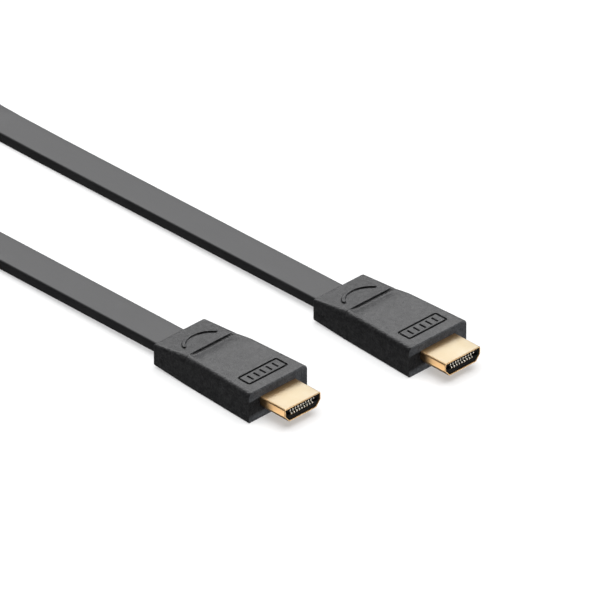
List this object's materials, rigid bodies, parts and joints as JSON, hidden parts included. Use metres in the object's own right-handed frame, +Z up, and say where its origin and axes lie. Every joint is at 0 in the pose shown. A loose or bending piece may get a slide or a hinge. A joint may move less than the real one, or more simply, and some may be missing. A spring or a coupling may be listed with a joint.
{
  "type": "hdmi cable",
  "caption": "Flat black digital audio and video cable with a straight gold-plated plug at each end and its spare length wound in a tied coil.",
  "frame": {"origin": "on the table, under the middle of the box around the two plugs, cord and coil not counted", "axes": "+X is the way both plugs point, +Y runs across from plug A to plug B, +Z is up"},
  "size_m": [0.3492, 0.0963, 0.0133],
  "materials": {
    "hood_plastic": "fine moulded texture, satin black",
    "shell_plating": "pale gold plating, satin",
    "insulator_plastic": "smooth black",
    "contact_plating": "bright gold plating",
    "cord_jacket": "soft satin black jacket",
    "tie_plastic": "coated wire tie, satin black"
  },
  "bodies": {
    "root": {"plug_a_hood": "hood_plastic", "plug_a_shell": "shell_plating", "plug_a_insulator": "insulator_plastic", "plug_a_contact_01": "contact_plating", "plug_a_contact_02": "contact_plating", "plug_a_contact_03": "contact_plating", "plug_a_contact_04": "contact_plating", "plug_a_contact_05": "contact_plating", "plug_a_contact_06": "contact_plating", "plug_a_contact_07": "contact_plating", "plug_a_contact_08": "contact_plating", "plug_a_contact_09": "contact_plating", "plug_a_contact_10": "contact_plating", "plug_a_contact_11": "contact_plating", "plug_a_contact_12": "contact_plating", "plug_a_contact_13": "contact_plating", "plug_a_contact_14": "contact_plating", "plug_a_contact_15": "contact_plating", "plug_a_contact_16": "contact_plating", "plug_a_contact_17": "contact_plating", "plug_a_contact_18": "contact_plating", "plug_a_contact_19": "contact_plating", "plug_b_hood": "hood_plastic", "plug_b_shell": "shell_plating", "plug_b_insulator": "insulator_plastic", "plug_b_contact_01": "contact_plating", "plug_b_contact_02": "contact_plating", "plug_b_contact_03": "contact_plating", "plug_b_contact_04": "contact_plating", "plug_b_contact_05": "contact_plating", "plug_b_contact_06": "contact_plating", "plug_b_contact_07": "contact_plating", "plug_b_contact_08": "contact_plating", "plug_b_contact_09": "contact_plating", "plug_b_contact_10": "contact_plating", "plug_b_contact_11": "contact_plating", "plug_b_contact_12": "contact_plating", "plug_b_contact_13": "contact_plating", "plug_b_contact_14": "contact_plating", "plug_b_contact_15": "contact_plating", "plug_b_contact_16": "contact_plating", "plug_b_contact_17": "contact_plating", "plug_b_contact_18": "contact_plating", "plug_b_contact_19": "contact_plating", "cable_run_a": "cord_jacket", "cable_run_b": "cord_jacket", "cable_coil": "cord_jacket", "cable_tie": "tie_plastic"}
  },
  "joints": []
}
